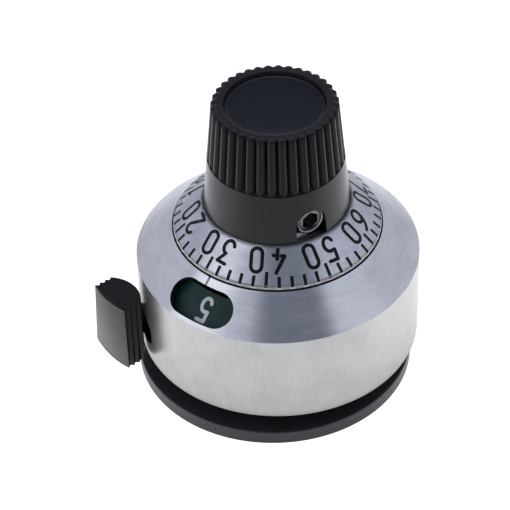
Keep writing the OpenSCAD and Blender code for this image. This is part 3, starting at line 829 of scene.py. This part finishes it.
def cut(piece, points, faces, sharp=35):
    """Cuts a closed shape out of a piece and keeps the result as the piece's own mesh."""
    cutter = make_piece("cutter", points, faces, piece.data.materials[0], None, None)
    modifier = piece.modifiers.new("cut", "BOOLEAN")
    modifier.object = cutter
    modifier.solver = "EXACT"
    shaped = bpy.data.meshes.new_from_object(
        piece.evaluated_get(bpy.context.evaluated_depsgraph_get()))
    piece.modifiers.clear()
    old = piece.data
    piece.data = shaped
    shaped.name = piece.name
    bpy.data.meshes.remove(old)
    bpy.data.objects.remove(cutter)
    shaped.shade_smooth()
    shaped.set_sharp_from_angle(angle=math.radians(sharp))


knob = make_piece("knob_body", *knob_mesh(), FINISHES["knob_plastic"], "knob", "knob_plastic")
cut(knob, *arch_cutter())
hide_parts("knob_grip")


# ---- knob cap ---------------------------------------------------------------------------------
def lathe(profile, segments=192):
    """A solid with an outline of (radius, height) turned round the Z axis."""
    points = [polar(radius, 360 * k / segments, z) for radius, z in profile for k in range(segments)]
    return points, solid_faces(len(profile), segments)


def cap_profile():
    """The cap's side, its rounded edge, and a fine bead round a slightly sunken face."""
    edge = 0.07
    bead_in, bead_width, sunk = 0.04, 0.16, 0.05
    bead_r = CAP_R - edge - bead_in
    profile = [(CAP_R, CAP_FOOT_Z), (CAP_R, CAP_TOP_Z - edge)]
    profile += [(CAP_R - edge + edge * math.cos(math.radians(a)),
                 CAP_TOP_Z - edge + edge * math.sin(math.radians(a))) for a in (30, 60, 90)]
    profile += [(bead_r, CAP_TOP_Z), (bead_r - bead_width * 0.4, CAP_TOP_Z - 0.2 * sunk),
                (bead_r - bead_width * 0.7, CAP_TOP_Z - 0.8 * sunk),
                (bead_r - bead_width, CAP_TOP_Z - sunk), (0.4 * bead_r, CAP_TOP_Z - sunk)]
    return profile


cap = make_piece("cap_disc", *lathe(cap_profile()), FINISHES["cap_plastic"], "knob",
                 "cap_plastic", sharp=60)
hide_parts("knob_cap")


# ---- lever pad --------------------------------------------------------------------------------
PAD_W = 4.0
PAD_EDGE = 0.05
PAD_BULGE = 0.27
PAD_BACK_R = 2.73
PAD_BACK_CENTRE = 6.86
PAD_CORNER = 0.12
PAD_DRAFT = 0.45
RIB_PITCH = 0.5
RIB_DEPTH = 0.19
RIB_COUNT = 4


def pad_outline():
    """The pad seen from above: u outwards from the pivot, v across, anticlockwise."""
    half = PAD_W / 2
    face_half = half - PAD_CORNER
    face_r = (face_half ** 2 + PAD_BULGE ** 2) / (2 * PAD_BULGE)
    face_steps = 16
    face = []
    for i in range(face_steps + 1):
        v = face_half * (2 * i / face_steps - 1)
        u = PAD_REACH + PAD_BULGE - face_r + math.sqrt(face_r ** 2 - v ** 2)
        face.append((u, v))
    side = []
    valleys = RIB_COUNT - 1
    side_steps = 10 * valleys
    for i in range(side_steps + 1):
        u = PAD_REACH - PAD_CORNER / 2 - valleys * RIB_PITCH * i / side_steps
        wave = math.sin(math.pi * valleys * i / side_steps)
        side.append((u, half - RIB_DEPTH * wave ** 2))
    back_start = math.degrees(math.asin(face_half / PAD_BACK_R))
    back = arc(PAD_BACK_CENTRE, 0, PAD_BACK_R, PAD_BACK_R, 180 - back_start, 180 + back_start, 24)
    mirrored = [(u, -v) for u, v in reversed(side)]
    return face + side + back + mirrored


def inset(outline, distance):
    """The outline moved inwards by a distance, corner by corner."""
    moved = []
    count = len(outline)
    for i, (x, y) in enumerate(outline):
        ax, ay = outline[i - 1]
        bx, by = outline[(i + 1) % count]
        tx, ty = bx - ax, by - ay
        length = math.hypot(tx, ty)
        moved.append((x - ty / length * distance, y + tx / length * distance))
    return moved


def pad_mesh():
    """The outline stacked from foot to top with rounded edges; one flank flares at the foot."""
    bevel = EDGE_MIDDLE * PAD_EDGE
    layers = [(PAD_EDGE, PAD_FOOT_Z), (bevel, PAD_FOOT_Z + bevel), (0, PAD_FOOT_Z + PAD_EDGE),
              (0, PAD_TOP_Z - PAD_EDGE), (bevel, PAD_TOP_Z - bevel), (PAD_EDGE, PAD_TOP_Z)]
    out_x, out_y = math.cos(LEVER_TURN), math.sin(LEVER_TURN)
    outline = pad_outline()
    points = []
    for distance, z in layers:
        flare = PAD_DRAFT * (PAD_TOP_Z - z) / (PAD_TOP_Z - PAD_FOOT_Z) / (PAD_W / 2)
        for u, v in inset(outline, distance):
            v += min(v, 0) * flare
            points.append((PIVOT[0] + u * out_x - v * out_y, PIVOT[1] + u * out_y + v * out_x, z))
    return points, solid_faces(len(layers), len(outline))


pad = make_piece("pad_body", *pad_mesh(), FINISHES["lever_plastic"], "lever", "lever_plastic",
                 sharp=50)
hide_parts("lever_pad")

# ---- metal round the set screw ----------------------------------------------------------------
SOCKET_IN_R, SOCKET_OUT_R = 0.95, 1.11
SOCKET_BACK, SOCKET_FRONT = 4.45, 5.02
SOCKET_EDGE = 0.05
FOOT_BACK, FOOT_FRONT = 4.3, 5.25
FOOT_OUTLINE = [(-1.36, 15.74), (-0.3, 15.74), (-0.5, 15.95), (-0.8, 16.12), (-1.36, 16.4)]


def screw_ring(segments=64):
    """The burnished ring round the screw's socket."""
    bevel = EDGE_MIDDLE * SOCKET_EDGE
    profile = [(SOCKET_IN_R, SOCKET_BACK), (SOCKET_OUT_R, SOCKET_BACK),
               (SOCKET_OUT_R, SOCKET_FRONT - SOCKET_EDGE),
               (SOCKET_OUT_R - bevel, SOCKET_FRONT - bevel),
               (SOCKET_OUT_R - SOCKET_EDGE, SOCKET_FRONT),
               (SOCKET_IN_R, SOCKET_FRONT - SOCKET_EDGE)]
    points = []
    for radius, out in profile:
        for k in range(segments):
            a = 2 * math.pi * k / segments
            points.append(beside(
                SCREW_AZ, out, radius * math.cos(a), SCREW_Z + radius * math.sin(a)))
    return points, side_faces(len(profile), segments, closed=True, inwards=True)


def hub_foot():
    """A small block of the hub that shows below the set screw, at one side of the arch."""
    points = [beside(SCREW_AZ, out, across, z)
              for out in (FOOT_BACK, FOOT_FRONT) for across, z in FOOT_OUTLINE]
    return points, solid_faces(2, len(FOOT_OUTLINE))


make_piece("screw_ring", *screw_ring(), FINISHES["steel_plain"], "knob", "steel_bright")
make_piece("hub_foot", *hub_foot(), FINISHES["steel_plain"], "knob", "brass_turned")

# ---- finishes of the CAD nodes ----------------------------------------------------------------
for name, cad_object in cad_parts.items():
    for slot in cad_object.material_slots:
        known = slot.material.name.split(".")[0] if slot.material else ""
        if known in FINISHES:
            slot.material = FINISHES[known]


# ---- studio -----------------------------------------------------------------------------------
CAMERA_TILT = 41.21
CAMERA_DISTANCE = 169.8
CAMERA_LENS = 152.5
CAMERA_ROLL = -1.753
AIM_HEIGHT = 10.0
AIM_RIGHT = -1.8125
AIM_UP = -0.1725
FLOOR_HALF = 600.0


def add_camera():
    """A long lens that looks down from the reader's side."""
    tilt = math.radians(CAMERA_TILT)
    right = Vector((1, 0, 0))
    up = Vector((0, math.sin(tilt), math.cos(tilt)))
    back = Vector((0, -math.cos(tilt), math.sin(tilt)))
    aim = Vector((0, 0, AIM_HEIGHT)) + AIM_RIGHT * right + AIM_UP * up
    place = (aim + CAMERA_DISTANCE * back) * MM
    data = bpy.data.cameras.new("camera")
    data.lens = CAMERA_LENS
    data.sensor_width = 36
    data.clip_start = 0.01
    camera = bpy.data.objects.new("camera", data)
    facing = Matrix((right, up, back)).transposed().to_4x4()
    roll = Matrix.Rotation(math.radians(CAMERA_ROLL), 4, "Z")
    camera.matrix_world = Matrix.Translation(place) @ facing @ roll
    bpy.context.scene.collection.objects.link(camera)
    bpy.context.scene.camera = camera


def add_floor():
    """White paper, evenly white to the camera. As painted light it glows onto the object, more towards
    the sides and the back.
    """
    f = Finish("floor_paper")
    fibre = f.noise(f.position, detail=3, scale=0.4)
    f.set("Base Color", f.tint(fibre, "#fbfbfb", "#ffffff"))
    f.set("Roughness", 0.9)
    f.set("Specular IOR Level", 0.1)
    f.set("Emission Color", "#ffffff")
    backwards = f.calc("ADD", f.y, f.product(f.calc("ABSOLUTE", f.x), 0.8))
    near = f.remap(f.radius, 30.0, 75.0, 1.0, 0.0, smooth=True)
    # Painted light: the floor's glow on the object, strongest near it and towards the sides and the
    # back.
    painted_glow = f.product(near, f.remap(backwards, -12.0, 22.0, 0.35, 0.8, smooth=True))
    seen = f.node("ShaderNodeLightPath").outputs["Is Camera Ray"]
    f.set("Emission Strength", f.blend(seen, painted_glow, 1.0))
    signs = ((-1, -1), (1, -1), (1, 1), (-1, 1))
    corners = [(x * FLOOR_HALF, y * FLOOR_HALF, FLOOR_Z) for x, y in signs]
    make_piece("floor", corners, [(0, 1, 2, 3)], f.material, None, None)


def add_softbox(name, azimuth, elevation, distance, size, power):
    """A rectangular lamp that faces the object."""
    data = bpy.data.lights.new(name, "AREA")
    data.shape = "RECTANGLE"
    data.size, data.size_y = (side * MM for side in size)
    data.energy = power
    lamp = bpy.data.objects.new(name, data)
    flat = distance * math.cos(math.radians(elevation))
    rise = distance * math.sin(math.radians(elevation))
    place = Vector(polar(flat, azimuth, AIM_HEIGHT + rise))
    lamp.location = place * MM
    lamp.rotation_euler = (place - Vector((0, 0, AIM_HEIGHT))).to_track_quat("Z", "Y").to_euler()
    bpy.context.scene.collection.objects.link(lamp)


def add_world():
    """A pale bluish room; a dark band behind the camera and a dim area above and behind."""
    world = bpy.data.worlds.new("studio")
    sky = Graph(world)
    x, y, z = sky.split(sky.node("ShaderNodeTexCoord").outputs["Generated"])
    room = (0.60, 0.615, 0.70, 1)
    horizon = (0.62, 0.63, 0.68, 1)
    camera_side = (0.143, 0.159, 0.209, 1)
    ceiling = (0.16, 0.18, 0.26, 1)

    def fades(value, start, end):
        return sky.remap(value, start, end, smooth=True)

    tone = sky.mix(fades(z, 0.22, 0.05), room, horizon)
    front = sky.product(fades(y, -0.12, -0.3), fades(z, 0.15, 0.3),
                        fades(x, -0.4, -0.12), fades(x, 0.53, 0.48))
    tone = sky.mix(front, tone, camera_side)
    above = sky.product(fades(y, 0.25, 0.5), fades(z, 0.25, 0.45),
                        fades(x, -0.65, -0.4), fades(x, 0.65, 0.4))
    tone = sky.mix(above, tone, ceiling)
    sky.wire(tone, sky.tree.nodes["Background"].inputs["Color"])
    bpy.context.scene.world = world


add_camera()
add_floor()
add_world()
add_softbox("left_softbox", azimuth=200, elevation=35, distance=160, size=(90, 120), power=0.018)
add_softbox("right_softbox", azimuth=-20, elevation=40, distance=160, size=(90, 120), power=0.003)
add_softbox("top_softbox", azimuth=90, elevation=75, distance=180, size=(120, 120), power=0.02)
bpy.context.scene.view_settings.view_transform = "Standard"
